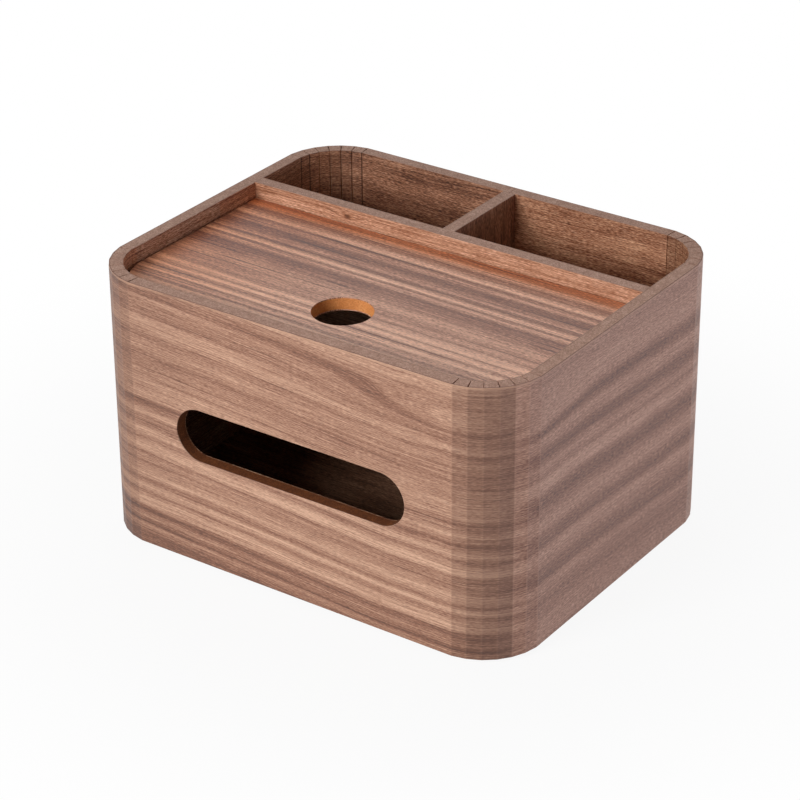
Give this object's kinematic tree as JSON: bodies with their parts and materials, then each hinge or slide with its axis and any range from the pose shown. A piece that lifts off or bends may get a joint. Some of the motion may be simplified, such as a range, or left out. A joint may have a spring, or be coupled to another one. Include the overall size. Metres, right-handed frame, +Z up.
{
  "type": "tissue box",
  "caption": "Walnut-veneered wooden tissue box with rounded folded corners, a slot in the front, a lift-out lid with a finger hole and open storage bays behind.",
  "frame": {"origin": "on the table under the middle of the box's footprint", "axes": "+X to the right along the front wall, +Y from the front wall to the back, +Z up"},
  "size_m": [0.21, 0.17, 0.125],
  "materials": {
    "outer_walnut": "matt lacquered walnut veneer",
    "inner_walnut": "matt lacquered walnut veneer",
    "lid_walnut": "matt lacquered striped walnut veneer",
    "board_core": "stained fibreboard edge",
    "cleat_wood": "plain planed strip",
    "pad_foam": "matt foam rubber"
  },
  "bodies": {
    "box": {"back_left_foot_pad": "pad_foam", "back_left_inner_veneer": "inner_walnut", "back_left_stave_veneers": "inner_walnut", "back_left_staves": "board_core", "back_left_wall_core": "board_core", "back_right_foot_pad": "pad_foam", "back_right_inner_veneer": "inner_walnut", "back_right_stave_veneers": "inner_walnut", "back_right_staves": "board_core", "back_right_wall_core": "board_core", "base_bottom_veneer": "inner_walnut", "base_core": "board_core", "base_top_veneer": "inner_walnut", "front_inner_veneer": "inner_walnut", "front_left_foot_pad": "pad_foam", "front_left_stave_veneers": "inner_walnut", "front_left_staves": "board_core", "front_right_foot_pad": "pad_foam", "front_right_stave_veneers": "inner_walnut", "front_right_staves": "board_core", "front_wall_core": "board_core", "left_inner_veneer": "inner_walnut", "left_lid_cleat": "cleat_wood", "left_wall_core": "board_core", "long_divider_core": "board_core", "long_divider_front_veneer": "inner_walnut", "long_divider_rear_veneer": "inner_walnut", "outer_veneer": "outer_walnut", "right_inner_veneer": "inner_walnut", "right_lid_cleat": "cleat_wood", "right_wall_core": "board_core", "short_divider_core": "board_core", "short_divider_left_veneer": "inner_walnut", "short_divider_right_veneer": "inner_walnut"},
    "lid": {"lid_bottom_veneer": "lid_walnut", "lid_core": "board_core", "lid_top_veneer": "lid_walnut"}
  },
  "joints": [
    {"name": "lid_lift", "type": "slide", "parent": "box", "child": "lid", "axis": [0, 0, 1], "range_m": [0, 0.08]}
  ]
}
